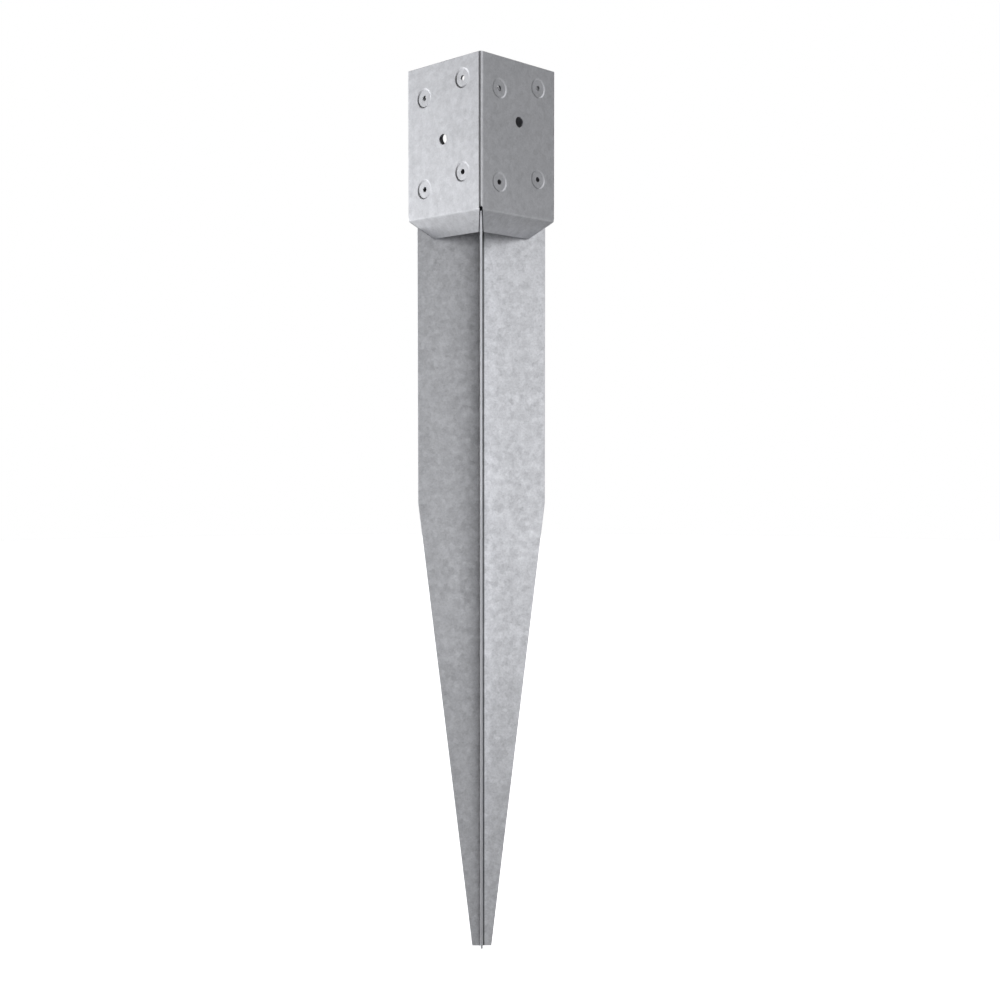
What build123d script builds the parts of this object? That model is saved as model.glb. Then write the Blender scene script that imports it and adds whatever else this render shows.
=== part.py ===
from build123d import *
import math
import os

# Post anchor spike: a folded sheet socket for a square fence post, welded on a cross-shaped blade
# of two V-bent plates, for driving into the ground.  Millimetres, +Z up.
# The origin is where the middle of the post's foot rests: on top of the blade, level with the line
# along which the socket's walls fold inwards.  The walls are square to X and Y and the four fins
# lie along the diagonals.  Front is -Y and right is +X.

# ---- driving dimensions ----
SHEET = 2.0  # thickness of every plate
POST_SPACE = 97.0  # clear width between the socket's walls
TOTAL_LENGTH = 850.0  # rim of the socket to the tip of the blade
SOCKET_HEIGHT = 142.5  # fold line to rim
FOLD_INNER_RADIUS = 1.2  # of the socket's folds
EDGE_RADIUS = 0.3  # the sheared edges of the plates are slightly rounded

FLAP_DROP = 17.0  # depth of the inward flaps below the fold line
FLAP_ANGLE = 45.0  # between a flap and the wall's plane
RELIEF_RADIUS = 1.6  # round hole that ends the slit at each corner
RELIEF_HEIGHT = 1.3
SLIT_HALF_TOP = 1.5  # half width of the corner slit at the fold line
SLIT_HALF_FOOT = 2.4  # and at the flaps' lower edge

FIN_REACH = 61.5  # axis to a fin's outer edge
SHOULDER_DEPTH = 271.0  # where the blade starts to taper
TIP_REACH = 9.5

SCREW_COLUMN = 26.0  # a wall's screw holes stand this far either side of its middle
SCREW_LOW_HEIGHT = 27.5  # lowest hole of the left column, seen from outside
SCREW_SPACING = 85.5
SCREW_STAGGER = 9.5  # the right column is this much higher
SCREW_HOLE_RADIUS = 2.5
BOLT_HOLE_RADIUS = 5.0
BOLT_HEIGHT_FRONT_REAR = 70.5
BOLT_HEIGHT_SIDES = 86.5

DIMPLE_RADIUS = 9.1  # mouth of the dimple round each screw hole
DIMPLE_FLOOR_RADIUS = 7.9
DIMPLE_DEPTH = 0.6
DIMPLE_INNER_BEND = 0.6
DIMPLE_PATCH_RADIUS = 12.0  # disc of wall that holds one dimple

SEAM_GAP = 0.4  # the wall ends at the rear left corner stop this far short of the inner corner
SEAM_TOP_MARGIN = 2.0  # the closing weld stops this far below the rim
STITCH_COUNT = 6
STITCH_LENGTH = 24.0
STITCH_TOP_DEPTH = 45.0  # middle of the first stitch, below the fold line
STITCH_TIP_MARGIN = 14.0  # middle of the last stitch, above the tip
STITCH_RADIUS = 4.2  # of the weld's face, about the blade's axis
FIN_WELD_RADIUS = 4.0
FIN_WELD_END_MARGIN = 1.0

# ---- worked out from them ----
HALF_INSIDE = POST_SPACE / 2
HALF_OUTSIDE = HALF_INSIDE + SHEET
FOLD_OUTER_RADIUS = FOLD_INNER_RADIUS + SHEET
FOLD_SETBACK = FOLD_OUTER_RADIUS * math.tan(math.radians(FLAP_ANGLE / 2))
BLADE_LENGTH = TOTAL_LENGTH - SOCKET_HEIGHT
ROOT2 = math.sqrt(2)
HEEL_OUTER_RADIUS = SHEET * (1 + 1 / ROOT2)  # lets the two heels touch while the fins stay in line
HEEL_INNER_RADIUS = HEEL_OUTER_RADIUS - SHEET
REACH_PAST = 10.0  # how far a cutting shape runs past what it cuts
QUARTER_TURNS = (0, 90, 180, 270)
CORNERS = {"front_right": -45, "rear_right": 45, "rear_left": 135, "front_left": 225}


def revolved_dimple():
    """The disc of wall round one screw hole, its outer face at z = 0 and pressed towards -Z."""
    slope = math.atan2(DIMPLE_DEPTH, DIMPLE_RADIUS - DIMPLE_FLOOR_RADIUS)
    shift = SHEET * math.tan(slope / 2)
    outer_bend = DIMPLE_INNER_BEND + SHEET
    outer_face = FilletPolyline(
        (DIMPLE_PATCH_RADIUS, 0, 0),
        (DIMPLE_RADIUS, 0, 0),
        (DIMPLE_FLOOR_RADIUS, 0, -DIMPLE_DEPTH),
        (SCREW_HOLE_RADIUS, 0, -DIMPLE_DEPTH),
        radius=[outer_bend, DIMPLE_INNER_BEND],
    )
    inner_face = FilletPolyline(
        (SCREW_HOLE_RADIUS, 0, -DIMPLE_DEPTH - SHEET),
        (DIMPLE_FLOOR_RADIUS + shift, 0, -DIMPLE_DEPTH - SHEET),
        (DIMPLE_RADIUS + shift, 0, -SHEET),
        (DIMPLE_PATCH_RADIUS, 0, -SHEET),
        radius=[outer_bend, DIMPLE_INNER_BEND],
    )
    hole_wall = Line(outer_face @ 1, inner_face @ 0)
    patch_edge = Line(inner_face @ 1, outer_face @ 0)
    section = make_face(outer_face + hole_wall + inner_face + patch_edge)
    return revolve(section, Axis.Z)


def on_front_wall(across, height):
    """A place on the front wall's outer face, with Z pointing out of the wall."""
    return Plane(origin=(across, -HALF_OUTSIDE, height), x_dir=(1, 0, 0), z_dir=(0, -1, 0))


def screw_hole_places():
    """The four screw holes of the front wall: across and height."""
    for row in range(2):
        low = SCREW_LOW_HEIGHT + row * SCREW_SPACING
        yield -SCREW_COLUMN, low
        yield SCREW_COLUMN, low + SCREW_STAGGER


def wall_tube():
    """The four walls with their bent corners, before any hole, open at the rear left corner."""
    outside = RectangleRounded(2 * HALF_OUTSIDE, 2 * HALF_OUTSIDE, FOLD_OUTER_RADIUS)
    inside = RectangleRounded(POST_SPACE, POST_SPACE, FOLD_INNER_RADIUS)
    tube = Pos(0, 0, FOLD_SETBACK) * extrude(outside - inside, SOCKET_HEIGHT - FOLD_SETBACK)
    wall_end = HALF_INSIDE - SEAM_GAP
    notch = Box(REACH_PAST, REACH_PAST, 2 * SOCKET_HEIGHT, align=(Align.MAX, Align.MIN, Align.CENTER))
    return tube - Pos(-wall_end, wall_end, SOCKET_HEIGHT) * notch


def front_flap():
    """The front wall's fold and flap, up to where the fold ends and mitred along the diagonals."""
    slope = math.radians(FLAP_ANGLE)
    run = FLAP_DROP * math.tan(slope)
    edge_step = (SHEET * math.cos(slope), SHEET * math.sin(slope))
    fold_shift = SHEET * math.tan(slope / 2)
    outer_face = FilletPolyline(
        (0, -HALF_OUTSIDE, FOLD_SETBACK + REACH_PAST),
        (0, -HALF_OUTSIDE, 0),
        (0, -HALF_OUTSIDE + run, -FLAP_DROP),
        radius=FOLD_OUTER_RADIUS,
    )
    inner_face = FilletPolyline(
        (0, -HALF_OUTSIDE + run + edge_step[0], -FLAP_DROP + edge_step[1]),
        (0, -HALF_INSIDE, fold_shift),
        (0, -HALF_INSIDE, FOLD_SETBACK + REACH_PAST),
        radius=FOLD_INNER_RADIUS,
    )
    flap_edge = Line(outer_face @ 1, inner_face @ 0)
    top_edge = Line(inner_face @ 1, outer_face @ 0)
    section = make_face(outer_face + flap_edge + inner_face + top_edge)
    strip = extrude(section, HALF_OUTSIDE, both=True)
    quarter = Polygon(
        (0, 0),
        (-2 * HALF_OUTSIDE, -2 * HALF_OUTSIDE),
        (2 * HALF_OUTSIDE, -2 * HALF_OUTSIDE),
        align=None,
    )
    wedge = extrude(quarter, -FLAP_DROP - REACH_PAST) + extrude(quarter, FOLD_SETBACK)
    corner_round = RectangleRounded(2 * HALF_OUTSIDE, 2 * HALF_OUTSIDE, FOLD_OUTER_RADIUS)
    return strip & wedge & extrude(corner_round, FLAP_DROP + REACH_PAST, both=True)


def corner_slit():
    """Cutting shape for the slit and relief hole of the corner on the +X axis, to be turned."""
    widening = (SLIT_HALF_FOOT - SLIT_HALF_TOP) / FLAP_DROP
    foot = -FLAP_DROP - REACH_PAST
    half_foot = SLIT_HALF_TOP - widening * foot
    slit = Polygon(
        (SLIT_HALF_TOP, RELIEF_HEIGHT),
        (-SLIT_HALF_TOP, RELIEF_HEIGHT),
        (-SLIT_HALF_TOP, 0),
        (-half_foot, foot),
        (half_foot, foot),
        (SLIT_HALF_TOP, 0),
        align=None,
    )
    outline = slit + Pos(0, RELIEF_HEIGHT) * Circle(RELIEF_RADIUS)
    start = HALF_INSIDE - FLAP_DROP - REACH_PAST
    return Plane.YZ.offset(start) * extrude(outline, ROOT2 * HALF_OUTSIDE)


def socket():
    """The socket: one sheet with four walls, three bent corners, four flaps and all holes."""
    body = wall_tube()
    for turn in QUARTER_TURNS:
        body += Rot(0, 0, turn) * front_flap()
    for angle in CORNERS.values():
        body -= Rot(0, 0, angle) * corner_slit()
    patch_hole = Cylinder(DIMPLE_PATCH_RADIUS, 2 * SHEET + DIMPLE_DEPTH)
    dimple = revolved_dimple()
    bolt_hole = Cylinder(BOLT_HOLE_RADIUS, 2 * REACH_PAST)
    for count, turn in enumerate(QUARTER_TURNS):
        for across, height in screw_hole_places():
            place = Rot(0, 0, turn) * on_front_wall(across, height).location
            body -= place * patch_hole
            body += place * dimple
        bolt_height = BOLT_HEIGHT_SIDES if count % 2 else BOLT_HEIGHT_FRONT_REAR
        body -= Rot(0, 0, turn) * on_front_wall(0, bolt_height).location * bolt_hole
    straight_edges = body.edges().filter_by(GeomType.LINE)
    rim_edges = straight_edges.group_by(Axis.Z)[-1]
    flap_edges = [edge for edge in straight_edges if edge.bounding_box().max.Z < SHEET - FLAP_DROP]
    return fillet(rim_edges + flap_edges, EDGE_RADIUS)


def socket_seam_weld():
    """Corner weld that closes the sheet, flush with the faces of the two walls that it joins."""
    foot = RELIEF_HEIGHT + RELIEF_RADIUS
    height = SOCKET_HEIGHT - SEAM_TOP_MARGIN - foot
    radius = SHEET + SEAM_GAP
    quadrant = Rectangle(radius, radius, align=(Align.MAX, Align.MIN))
    wall_end = HALF_INSIDE - SEAM_GAP
    return Pos(-wall_end, wall_end, foot) * extrude(Circle(radius) & quadrant, height)


def blade_leg():
    """One flat leg of a blade plate, from the end of the bend out along +X."""
    heel = HEEL_OUTER_RADIUS / ROOT2
    outline = Polyline(
        (heel, 0, 0),
        (FIN_REACH, 0, 0),
        (FIN_REACH, 0, -SHOULDER_DEPTH),
        (TIP_REACH, 0, -BLADE_LENGTH),
        (heel, 0, -BLADE_LENGTH),
        close=True,
    )
    leg = extrude(make_face(outline), SHEET / 2, both=True)
    sheared = [edge for edge in leg.edges() if edge.center().X > heel + EDGE_RADIUS and edge.length > SHEET]
    return fillet(sheared, EDGE_RADIUS)


def front_blade_plate():
    """Plate bent to a V that opens towards -Y, its heel on the axis and its legs on the diagonals."""
    centre = Pos(0, -HEEL_OUTER_RADIUS)
    ring = centre * (Circle(HEEL_OUTER_RADIUS) - Circle(HEEL_INNER_RADIUS))
    span = 2 * HEEL_OUTER_RADIUS
    quarter = centre * Polygon((0, 0), (span, span), (-span, span), align=None)
    heel = extrude(ring & quarter, -BLADE_LENGTH)
    leg = blade_leg()
    return heel + Rot(0, 0, CORNERS["front_right"]) * leg + Rot(0, 0, CORNERS["front_left"]) * leg


def blade_stitch_welds(plates):
    """Short welds in the left groove between the two plates, evenly spaced down the blade."""
    span = 2 * STITCH_RADIUS
    left_quarter = Polygon((0, 0), (-span, span), (-span, -span), align=None)
    bead = extrude(Circle(STITCH_RADIUS) & left_quarter, STITCH_LENGTH / 2, both=True)
    last = BLADE_LENGTH - STITCH_TIP_MARGIN
    pitch = (last - STITCH_TOP_DEPTH) / (STITCH_COUNT - 1)
    beads = [Pos(0, 0, -STITCH_TOP_DEPTH - pitch * n) * bead for n in range(STITCH_COUNT)]
    for plate in plates:
        beads = [bead - plate for bead in beads]
    return Compound(children=[solid for bead in beads for solid in bead.solids()])


def fin_welds(angle, neighbours):
    """The two welds that join one fin to the flaps beside it, lying in the socket's valley."""
    slope = math.radians(FLAP_ANGLE)
    inner_face_shift = SHEET / math.cos(slope)
    foot_reach = ROOT2 * (HALF_OUTSIDE - FLAP_DROP * math.tan(slope) - inner_face_shift)
    top_drop = HALF_OUTSIDE - inner_face_shift - FIN_REACH / ROOT2
    foot = Vector(foot_reach, 0, -FLAP_DROP)
    along = Vector(FIN_REACH, 0, -top_drop) - foot
    start = foot + along.normalized() * FIN_WELD_END_MARGIN
    plane = Plane(origin=start, x_dir=(0, 1, 0), z_dir=along)
    upper_half = Rectangle(2 * FIN_WELD_RADIUS, FIN_WELD_RADIUS, align=(Align.CENTER, Align.MIN))
    section = Circle(FIN_WELD_RADIUS) & upper_half
    bead = Rot(0, 0, angle) * (plane * extrude(section, along.length - 2 * FIN_WELD_END_MARGIN))
    for neighbour in neighbours:
        bead -= neighbour
    return bead


def build():
    """Every node of the object, by name."""
    front = front_blade_plate()
    rear = Rot(0, 0, 180) * front
    shell = socket()
    nodes = {
        "socket": shell,
        "socket_seam_weld": socket_seam_weld(),
        "blade_plate_front": front,
        "blade_plate_rear": rear,
        "blade_stitch_welds": blade_stitch_welds([front, rear]),
    }
    for corner, angle in CORNERS.items():
        nodes[f"fin_welds_{corner}"] = fin_welds(angle, [shell, front, rear])
    return nodes


os.makedirs("parts", exist_ok=True)
for name, shape in build().items():
    export_step(shape, f"parts/{name}.step")
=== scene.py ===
import math
import random
from collections import namedtuple

import bmesh
import bpy
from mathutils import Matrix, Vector


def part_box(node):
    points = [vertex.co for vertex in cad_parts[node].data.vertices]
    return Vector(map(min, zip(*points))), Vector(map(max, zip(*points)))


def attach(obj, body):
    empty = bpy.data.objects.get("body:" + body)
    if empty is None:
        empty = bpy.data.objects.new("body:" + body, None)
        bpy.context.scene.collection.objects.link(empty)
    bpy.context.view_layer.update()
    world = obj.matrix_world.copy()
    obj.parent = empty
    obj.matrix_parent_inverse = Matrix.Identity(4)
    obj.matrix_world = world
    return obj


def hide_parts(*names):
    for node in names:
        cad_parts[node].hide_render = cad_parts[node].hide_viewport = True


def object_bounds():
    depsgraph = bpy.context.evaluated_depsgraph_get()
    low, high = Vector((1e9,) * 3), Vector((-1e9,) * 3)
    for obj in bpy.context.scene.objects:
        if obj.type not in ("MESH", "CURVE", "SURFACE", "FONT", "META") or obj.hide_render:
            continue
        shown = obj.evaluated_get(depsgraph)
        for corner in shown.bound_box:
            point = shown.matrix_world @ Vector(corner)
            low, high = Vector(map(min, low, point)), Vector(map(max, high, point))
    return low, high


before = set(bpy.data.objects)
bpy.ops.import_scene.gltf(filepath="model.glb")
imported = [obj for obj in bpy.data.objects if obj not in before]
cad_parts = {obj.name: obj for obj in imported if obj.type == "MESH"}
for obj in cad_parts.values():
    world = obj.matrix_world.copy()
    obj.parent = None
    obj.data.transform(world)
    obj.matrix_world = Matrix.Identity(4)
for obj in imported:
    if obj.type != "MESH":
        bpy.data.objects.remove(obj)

# Post anchor spike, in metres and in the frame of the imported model: +Z up, the post's seat at the
# origin, the socket's walls square to X and Y, and the blade's four fins on the diagonals.
# Azimuths run from 0 at the front (-Y) through 90 at the right (+X).

CAD_LOW, CAD_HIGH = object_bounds()

# ---- camera: level with the upper blade, facing the front right corner ----
CAMERA_DISTANCE = 1.3007  # from the blade's axis
CAMERA_HEIGHT = -0.2146  # above the post's seat
CAMERA_AZIMUTH = 45.285
CAMERA_PAN = 0.791  # to the right of the axis
CAMERA_TILT = 2.368  # downwards
CAMERA_LENS = 48.21
SENSOR_WIDTH = 36.0

# ---- soft lights: azimuth, elevation, half angle of the light's disc, brightness of the disc ----
SOFT_LIGHTS = {
    "left_softbox": (-67, 10, 24, 1.33),
    "front_right_softbox": (57.5, -1.5, 20, 1.66),
    "upper_right_softbox": (97, 43, 30, 1.05),
    "right_floor_bounce": (121, -26.5, 46, 0.50),
    "left_floor_bounce": (-50, -28.5, 41, 0.98),
    "rear_softbox": (215, 14, 34, 1.40),
    "overhead_softbox": (200, 75, 35, 0.50),
}
AMBIENT = 0.05  # light from everywhere else
BACKGROUND = 1.0
FLOOR_RADIUS = 6.0

# ---- plates and welds ----
SHEET = 0.002
FLAP_DROP = 0.017
FIN_REACH = 0.0615
SHOULDER_DEPTH = 0.271  # where the blade starts to taper
TIP_REACH = 0.0095
VALLEY_REACH = 0.0034  # the bends and grooves along the axis lie within this radius
SIDE_BAND = (0.00055, 0.0002)  # a fin's sheared edge starts, and is reached, this far from its end
FOOT_BAND = (0.0004, 0.0002)  # the same at the tip
RIM_BAND = (0.0004, 0.0001)  # and at the socket's rim
STITCH_COUNT = 6
STITCH_LENGTH = 0.024
FIN_WELD_RADIUS = 0.004
FIN_WELD_END_MARGIN = 0.001
VALLEY_ANGLES = (30, 150)  # the two flaps beside a fin slope up from their joint at 30 degrees

# ---- zinc coat ----
ZINC = (0.594, 0.602, 0.630)
METALLIC = 1.0
ROUGHNESS = 0.43
TIP_SHADE_HEIGHTS = (-0.58, -0.40)  # between them a plate's colour may darken towards the tip, as painted shade
EDGE_ROUGHNESS = 0.48  # of the sheared edges
EDGE_RELIEF = 1.5  # about the middle of the relief of the faces
PATCH_SIZE = 0.045
MOTTLE_SIZE = 0.0075
CRYSTAL_SIZE = 0.0045
CRYSTAL_WARP = 0.004
SPECKLE_SIZE = 0.0021
MARK_SIZE = 0.0055
PATCH_SWING = 0.16  # how far each pattern moves the zinc's level, at contrast 1
MOTTLE_SWING = 0.46
CRYSTAL_SWING = 0.13
SPECKLE_SWING = 0.42
MARK_SWING = -0.09
MOTTLE_GLOSS = -0.16  # how far a pattern moves the roughness
SPECKLE_GLOSS = 0.12
SMOOTH_LUMPS = 0.00002  # height of the fine relief on sheet
ROUGH_LUMPS = 0.00006  # and on welds


# ------------------------------------------------------------------ camera, lights and floor

def direction(azimuth, elevation):
    """Unit vector from the object out to an azimuth and elevation in degrees."""
    a = math.radians(azimuth)
    e = math.radians(elevation)
    return Vector((math.sin(a) * math.cos(e), -math.cos(a) * math.cos(e), math.sin(e)))


def make_camera():
    """The camera of the main view."""
    data = bpy.data.cameras.new("camera")
    data.lens = CAMERA_LENS
    data.sensor_width = SENSOR_WIDTH
    camera = bpy.data.objects.new("camera", data)
    camera.location = CAMERA_DISTANCE * direction(CAMERA_AZIMUTH, 0)
    camera.location.z = CAMERA_HEIGHT
    heading = math.radians(CAMERA_AZIMUTH - CAMERA_PAN)
    camera.rotation_euler = (math.radians(90 - CAMERA_TILT), 0, heading)
    bpy.context.scene.collection.objects.link(camera)
    bpy.context.scene.camera = camera


def make_soft_light(name, azimuth, elevation, half_angle, brightness):
    """A far, wide light: a disc of even brightness, as a big softbox or a lit floor gives."""
    data = bpy.data.lights.new(name, "SUN")
    data.angle = 2 * math.radians(half_angle)
    data.energy = brightness * math.pi * math.sin(math.radians(half_angle)) ** 2
    light = bpy.data.objects.new(name, data)
    light.rotation_euler = direction(azimuth, elevation).to_track_quat("Z", "Y").to_euler()
    bpy.context.scene.collection.objects.link(light)


def make_world():
    """White behind the object, and a dim even light on it."""
    world = bpy.data.worlds.new("studio")
    world.use_nodes = True
    tree = world.node_tree
    ambient = tree.nodes["Background"]
    ambient.inputs["Color"].default_value = (1, 1, 1, 1)
    ambient.inputs["Strength"].default_value = AMBIENT
    backdrop = tree.nodes.new("ShaderNodeBackground")
    backdrop.inputs["Color"].default_value = (1, 1, 1, 1)
    backdrop.inputs["Strength"].default_value = BACKGROUND
    path = tree.nodes.new("ShaderNodeLightPath")
    mix = tree.nodes.new("ShaderNodeMixShader")
    tree.links.new(path.outputs["Is Camera Ray"], mix.inputs["Fac"])
    tree.links.new(ambient.outputs["Background"], mix.inputs[1])
    tree.links.new(backdrop.outputs["Background"], mix.inputs[2])
    tree.links.new(mix.outputs["Shader"], tree.nodes["World Output"].inputs["Surface"])
    bpy.context.scene.world = world
    bpy.context.scene.view_settings.view_transform = "Standard"


def make_floor():
    """Plain white floor that only the camera sees. The two floor bounces stand for its light."""
    shape = bmesh.new()
    bmesh.ops.create_circle(shape, cap_ends=True, segments=64, radius=FLOOR_RADIUS)
    mesh = bpy.data.meshes.new("floor")
    shape.to_mesh(mesh)
    shape.free()
    floor = bpy.data.objects.new("floor", mesh)
    floor.location.z = CAD_LOW.z
    floor.visible_diffuse = False
    floor.visible_glossy = False
    floor.visible_shadow = False
    material = bpy.data.materials.new("floor_white")
    material.use_nodes = True
    shader = material.node_tree.nodes["Principled BSDF"]
    shader.inputs["Base Color"].default_value = (0.8, 0.8, 0.8, 1)
    shader.inputs["Roughness"].default_value = 0.9
    shader.inputs["Emission Color"].default_value = (1, 1, 1, 1)
    shader.inputs["Emission Strength"].default_value = BACKGROUND
    mesh.materials.append(material)
    bpy.context.scene.collection.objects.link(floor)


# ------------------------------------------------------------------ materials

Spot = namedtuple("Spot", "radius reach height")


class Surface:
    """A node material under construction. Lengths are metres in the object's own frame."""

    def __init__(self, name):
        self.material = bpy.data.materials.new(name)
        self.material.use_nodes = True
        self.tree = self.material.node_tree
        self.shader = self.tree.nodes["Principled BSDF"]
        self.place = self.tree.nodes.new("ShaderNodeTexCoord").outputs["Object"]

    def feed(self, socket, value):
        """Gives a socket a plain value or another node's output."""
        if isinstance(value, bpy.types.NodeSocket):
            self.tree.links.new(value, socket)
        else:
            socket.default_value = value

    def axes(self, vector):
        """The vector's x, y and z."""
        split = self.tree.nodes.new("ShaderNodeSeparateXYZ")
        self.tree.links.new(vector, split.inputs["Vector"])
        return [split.outputs[axis] for axis in "XYZ"]

    def calc(self, operation, *values):
        """Arithmetic on numbers."""
        node = self.tree.nodes.new("ShaderNodeMath")
        node.operation = operation
        for socket, value in zip(node.inputs, values):
            self.feed(socket, value)
        return node.outputs["Value"]

    def ramp(self, value, start, end, low=0.0, high=1.0):
        """Goes smoothly from low to high while the value goes from start to end."""
        node = self.tree.nodes.new("ShaderNodeMapRange")
        node.interpolation_type = "SMOOTHSTEP"
        self.feed(node.inputs["Value"], value)
        for name, number in (("From Min", start), ("From Max", end), ("To Min", low), ("To Max", high)):
            self.feed(node.inputs[name], number)
        return node.outputs["Result"]

    def blend(self, share, first, second):
        """The first number where the share is 0, the second where it is 1."""
        node = self.tree.nodes.new("ShaderNodeMix")
        for place, value in zip((0, 2, 3), (share, first, second)):
            self.feed(node.inputs[place], value)
        return node.outputs[0]

    def stretched(self, vector, x, y, z):
        """The vector with each axis scaled."""
        node = self.tree.nodes.new("ShaderNodeVectorMath")
        node.operation = "MULTIPLY"
        self.feed(node.inputs[0], vector)
        node.inputs[1].default_value = (x, y, z)
        return node.outputs["Vector"]

    def noise(self, vector, size, detail=2.0, roughness=0.5, output="Fac"):
        """Cloudy noise whose lumps are about as wide as size."""
        node = self.tree.nodes.new("ShaderNodeTexNoise")
        self.feed(node.inputs["Vector"], vector)
        node.inputs["Scale"].default_value = 1 / size
        node.inputs["Detail"].default_value = detail
        node.inputs["Roughness"].default_value = roughness
        return node.outputs[output]

    def warped(self, vector, size, distance):
        """The vector pushed about by noise, by up to half the distance."""
        offset = self.tree.nodes.new("ShaderNodeVectorMath")
        offset.operation = "MULTIPLY_ADD"
        self.feed(offset.inputs[0], self.noise(vector, size, output="Color"))
        offset.inputs[1].default_value = (distance, distance, distance)
        self.feed(offset.inputs[2], vector)
        return offset.outputs["Vector"]

    def crystals(self, vector, size):
        """One random level for each crystal, with soft borders."""
        node = self.tree.nodes.new("ShaderNodeTexVoronoi")
        node.feature = "SMOOTH_F1"
        self.feed(node.inputs["Vector"], vector)
        node.inputs["Scale"].default_value = 1 / size
        node.inputs["Smoothness"].default_value = 0.35
        split = self.tree.nodes.new("ShaderNodeSeparateColor")
        self.tree.links.new(node.outputs["Color"], split.inputs["Color"])
        return split.outputs["Red"]

    def tinted(self, colour, level):
        """The colour times a level."""
        node = self.tree.nodes.new("ShaderNodeVectorMath")
        node.operation = "SCALE"
        node.inputs[0].default_value = colour
        self.feed(node.inputs["Scale"], level)
        return node.outputs["Vector"]

    def bump(self, height, depth):
        """A normal for a height from 0 to 1 that stands for a depth."""
        node = self.tree.nodes.new("ShaderNodeBump")
        node.inputs["Strength"].default_value = 1.0
        node.inputs["Distance"].default_value = depth
        self.feed(node.inputs["Height"], height)
        return node.outputs["Normal"]


def find_spot(surface):
    """Distance from the axis, the same measured square to the nearest wall, and height."""
    x, y, height = surface.axes(surface.place)
    squares = surface.calc("ADD", surface.calc("MULTIPLY", x, x), surface.calc("MULTIPLY", y, y))
    reach = surface.calc("MAXIMUM", surface.calc("ABSOLUTE", x), surface.calc("ABSOLUTE", y))
    return Spot(surface.calc("SQRT", squares), reach, height)


def blade_sheared_edges(surface, spot):
    """1 on the sheared edges of the fins, 0 on their faces: where a lighter tone is painted on as a
    highlight.
    """
    tip = CAD_LOW.z
    fin_reach = surface.ramp(spot.height, tip, -SHOULDER_DEPTH, TIP_REACH, FIN_REACH)
    fin_reach.node.interpolation_type = "LINEAR"
    inside = surface.calc("SUBTRACT", fin_reach, spot.radius)
    side = surface.ramp(inside, *SIDE_BAND)
    foot = surface.ramp(spot.height, tip + FOOT_BAND[0], tip + FOOT_BAND[1])
    return surface.calc("MAXIMUM", side, foot)


def socket_rim(surface, spot):
    """1 on the socket's sheared rim, 0 on its walls: where a darker tone is painted on as shade to hold
    back the rim's highlight.
    """
    return surface.ramp(spot.height, CAD_HIGH.z - RIM_BAND[0], CAD_HIGH.z - RIM_BAND[1])


def blade_valley_shade(surface, spot):
    """1 in the bends and grooves along the axis, 0 on the fins: the zone of painted shade in the creases.
    """
    return surface.ramp(spot.radius, VALLEY_REACH, 0.7 * VALLEY_REACH)


def socket_inside_shade(surface, spot):
    """1 on the inner faces of the walls, 0 on their outer faces and on the flaps: the zone of painted
    shade inside the socket.
    """
    inner = surface.ramp(spot.reach, CAD_HIGH.x - 0.6 * SHEET, CAD_HIGH.x - 0.8 * SHEET)
    wall = surface.ramp(spot.height, 0.5 * SHEET, SHEET)
    return surface.calc("MULTIPLY", inner, wall)


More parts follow.
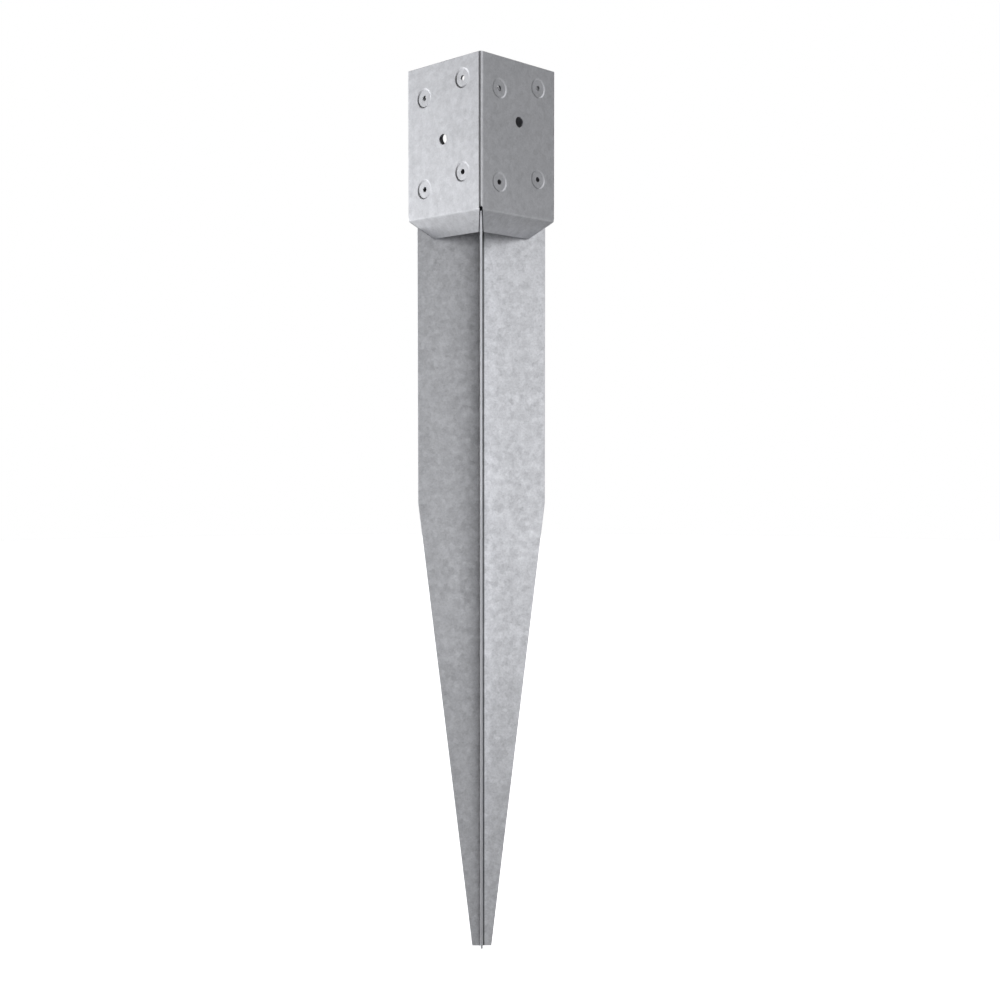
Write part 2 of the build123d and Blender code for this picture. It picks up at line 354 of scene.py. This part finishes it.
def zinc(
    name, tone, contrast,
    edges=None, painted_edge_tone=1,
    painted_shade_zone=None, painted_shade_level=1,
    tip_shade_level=1, lumps=SMOOTH_LUMPS,
):
    """Hot-dip zinc: mottling in patches, faint crystals, a grainy speckle and a few short marks.

    Tone is its mean level and contrast the strength of its patterns. The zone functions give 1
    where the zinc takes the edge tone (painted highlight on the fins' edges, painted shade on the socket's
    rim) or the painted shade level, and 0 elsewhere.
    """
    surface = Surface(name)
    place = surface.place
    spot = find_spot(surface)
    patches = surface.noise(place, PATCH_SIZE, detail=3, roughness=0.5)
    mottling = surface.noise(place, MOTTLE_SIZE, detail=5, roughness=0.75)
    crystals = surface.crystals(surface.warped(place, CRYSTAL_WARP, CRYSTAL_WARP), CRYSTAL_SIZE)
    speckle = surface.noise(place, SPECKLE_SIZE, detail=2, roughness=0.7)
    marks = surface.noise(surface.stretched(place, 1, 1, 3), MARK_SIZE, detail=3, roughness=0.6)
    patterns = (
        (patches, PATCH_SWING),
        (mottling, MOTTLE_SWING),
        (crystals, CRYSTAL_SWING),
        (speckle, SPECKLE_SWING),
    )

    level = tone
    for pattern, weight in patterns:
        swing = surface.calc("SUBTRACT", pattern, 0.5)
        level = surface.calc("MULTIPLY_ADD", swing, weight * contrast * tone, level)
    dark_marks = surface.ramp(marks, 0.60, 0.72, 0, MARK_SWING * contrast)
    level = surface.calc("ADD", level, dark_marks)
    # Painted shade: the colour darkens towards the tip, down to the tip shade level.
    level = surface.calc("MULTIPLY", level, surface.ramp(spot.height, *TIP_SHADE_HEIGHTS, tip_shade_level, 1))
    dullness = ROUGHNESS
    for pattern, weight in ((mottling, MOTTLE_GLOSS), (speckle, SPECKLE_GLOSS)):
        swing = surface.calc("SUBTRACT", pattern, 0.5)
        dullness = surface.calc("MULTIPLY_ADD", swing, weight, dullness)
    relief = surface.calc("ADD", speckle, surface.calc("MULTIPLY", mottling, 2.0))
    # Painted highlight on the fins' sheared edges and painted shade on the socket's rim: the edge tone
    # takes the place of the zinc's level there.
    if edges:
        edge = edges(surface, spot)
        level = surface.blend(edge, level, painted_edge_tone)
        dullness = surface.blend(edge, dullness, EDGE_ROUGHNESS)
        relief = surface.blend(edge, relief, EDGE_RELIEF)
    # Painted shade: the zone's colour is multiplied down to the painted shade level.
    if painted_shade_zone:
        painted_shade_factor = surface.blend(painted_shade_zone(surface, spot), 1.0, painted_shade_level)
        level = surface.calc("MULTIPLY", level, painted_shade_factor)

    surface.feed(surface.shader.inputs["Base Color"], surface.tinted(ZINC, level))
    surface.feed(surface.shader.inputs["Roughness"], dullness)
    surface.feed(surface.shader.inputs["Normal"], surface.bump(relief, lumps))
    surface.shader.inputs["Metallic"].default_value = METALLIC
    return surface.material


# ------------------------------------------------------------------ weld beads

RIPPLE_PITCH = 0.0017
RIPPLE_DEPTH = 0.00032
RIPPLE_BOW = 0.9  # how far a ripple's middle trails behind its sides, in pitches
BEAD_STATION = 0.00022  # distance between a bead's rings
BEAD_ARC_STEPS = 18
BEAD_END = 0.8  # length of a bead's rounded end, in radii
LEAST_FULLNESS = 0.06  # square of the end rings' size
WAVER_DEPTH = 0.03  # how far a bead's face wanders, in radii
WAVER_ALONG = 400  # turns of the wander, in radians a metre along the bead
WAVER_AROUND = 5  # and in radians from one side to the other


def add_bead(shape, start, end, across, radius, first_angle, last_angle, seed):
    """Adds one closed weld bead to a bmesh: a sector of a disc swept along a line, with ripples.

    Angles are degrees about the line, from across towards the line's direction cross across.
    """
    chance = random.Random(seed)
    along = (end - start).normalized()
    length = (end - start).length
    other = along.cross(across)
    steps = max(2, round(length / BEAD_STATION))
    phase = chance.random()
    sway = chance.uniform(0, math.tau)
    rings = []
    for step in range(steps + 1):
        reached = length * step / steps
        phase += length / steps / RIPPLE_PITCH * chance.uniform(0.85, 1.15)
        inset = min(reached, length - reached) / (BEAD_END * radius)
        fullness = math.sqrt(max(LEAST_FULLNESS, 1 - (1 - min(inset, 1)) ** 2))
        ring = [shape.verts.new(start + along * reached)]
        for count in range(BEAD_ARC_STEPS + 1):
            share = count / BEAD_ARC_STEPS
            bow = RIPPLE_BOW * (2 * share - 1) ** 2
            ripple = abs(math.sin(math.pi * (phase + bow)))
            dip = RIPPLE_DEPTH * (1 - math.sqrt(ripple))
            wander = sway + WAVER_ALONG * reached + WAVER_AROUND * share
            waver = WAVER_DEPTH * radius * (1 + math.sin(wander))
            angle = math.radians(first_angle + share * (last_angle - first_angle))
            outwards = math.cos(angle) * across + math.sin(angle) * other
            reach = fullness * radius - dip - waver
            ring.append(shape.verts.new(start + along * reached + outwards * reach))
        rings.append(ring)
    count = len(rings[0])
    for near, far in zip(rings, rings[1:]):
        for here in range(count):
            after = (here + 1) % count
            face = shape.faces.new((near[here], near[after], far[after], far[here]))
            face.smooth = 0 < here < count - 1
    shape.faces.new(list(reversed(rings[0])))
    shape.faces.new(rings[-1])


def make_welds(node, beads, material):
    """One piece with all the beads of a CAD weld node, which it stands for."""
    shape = bmesh.new()
    for seed, bead in enumerate(beads):
        add_bead(shape, *bead, seed=f"{node} {seed}")
    bmesh.ops.recalc_face_normals(shape, faces=shape.faces)
    mesh = bpy.data.meshes.new(f"{node}_beads")
    shape.to_mesh(mesh)
    shape.free()
    mesh.materials.append(material)
    piece = bpy.data.objects.new(f"{node}_beads", mesh)
    bpy.context.scene.collection.objects.link(piece)
    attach(piece, "root")
    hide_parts(node)


def seam_bead():
    """The weld that closes the socket's rear left corner: a quarter round, centred on its inner corner."""
    low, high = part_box("socket_seam_weld")
    foot = Vector((high.x, low.y, low.z))
    top = Vector((high.x, low.y, high.z))
    return [(foot, top, Vector((1, 0, 0)), high.x - low.x, 90, 180)]


def stitch_beads():
    """Short welds in the groove on the blade's left, a quarter round that runs on into the plates."""
    low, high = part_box("blade_stitch_welds")
    pitch = (high.z - low.z - STITCH_LENGTH) / (STITCH_COUNT - 1)
    radius = -low.x
    for count in range(STITCH_COUNT):
        foot = Vector((0, 0, low.z + pitch * count))
        yield foot, foot + Vector((0, 0, STITCH_LENGTH)), Vector((1, 0, 0)), radius, 135, 225


def fin_beads(azimuth):
    """The weld inside the socket, in the valley between two flaps, on both sides of one fin."""
    half_outside = CAD_HIGH.x
    level_sheet = SHEET * math.sqrt(2)
    out = direction(azimuth, 0)
    up = Vector((0, 0, 1))
    foot = math.sqrt(2) * (half_outside - FLAP_DROP - level_sheet) * out - FLAP_DROP * up
    top_drop = half_outside - level_sheet - FIN_REACH / math.sqrt(2)
    top = FIN_REACH * out - top_drop * up
    along = (top - foot).normalized()
    start = foot + along * FIN_WELD_END_MARGIN
    end = top - along * FIN_WELD_END_MARGIN
    sideways = up.cross(out)
    return [(start, end, sideways, FIN_WELD_RADIUS, *VALLEY_ANGLES)]


# ------------------------------------------------------------------ the object

CORNERS = {"front_right": 45, "rear_right": 135, "rear_left": 225, "front_left": 315}


def finish_plates():
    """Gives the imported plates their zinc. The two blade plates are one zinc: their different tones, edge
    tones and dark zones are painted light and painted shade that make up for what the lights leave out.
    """
    fins = {"edges": blade_sheared_edges, "painted_shade_zone": blade_valley_shade}
    finishes = {
        # Socket: painted shade on the inner faces (0.55) and a darker painted rim (0.6) that holds back a
        # highlight.
        "socket": zinc("zinc_socket_painted_shade", 1.0, 0.75, socket_rim, 0.6, socket_inside_shade, 0.55),
        # Front blade plate: a lower tone as painted shade, a painted highlight on its sheared edges and
        # light painted shade in its valley.
        "blade_plate_front": zinc(
            "zinc_front_plate_painted_light_and_shade", 0.90, 1.1, **fins, painted_edge_tone=1.3, painted_shade_level=0.9
        ),
        # Rear blade plate: a higher tone as painted light, a painted highlight on its sheared edges, deep
        # painted shade in the groove and painted shade towards the tip.
        "blade_plate_rear": zinc(
            "zinc_rear_plate_painted_light_and_shade", 1.13, 1.15, **fins, painted_edge_tone=1.1, painted_shade_level=0.3, tip_shade_level=0.87
        ),
    }
    for node, material in finishes.items():
        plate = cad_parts[node]
        plate.data.materials.clear()
        plate.data.materials.append(material)


def finish_welds():
    """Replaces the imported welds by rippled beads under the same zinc."""
    material = zinc("zinc_welds", 0.92, 1.2, lumps=ROUGH_LUMPS)
    make_welds("socket_seam_weld", seam_bead(), material)
    make_welds("blade_stitch_welds", stitch_beads(), material)
    for corner, azimuth in CORNERS.items():
        make_welds(f"fin_welds_{corner}", fin_beads(azimuth), material)


make_camera()
for light_name, light_place in SOFT_LIGHTS.items():
    make_soft_light(light_name, *light_place)
make_world()
make_floor()
finish_plates()
finish_welds()

bpy.context.view_layer.update()
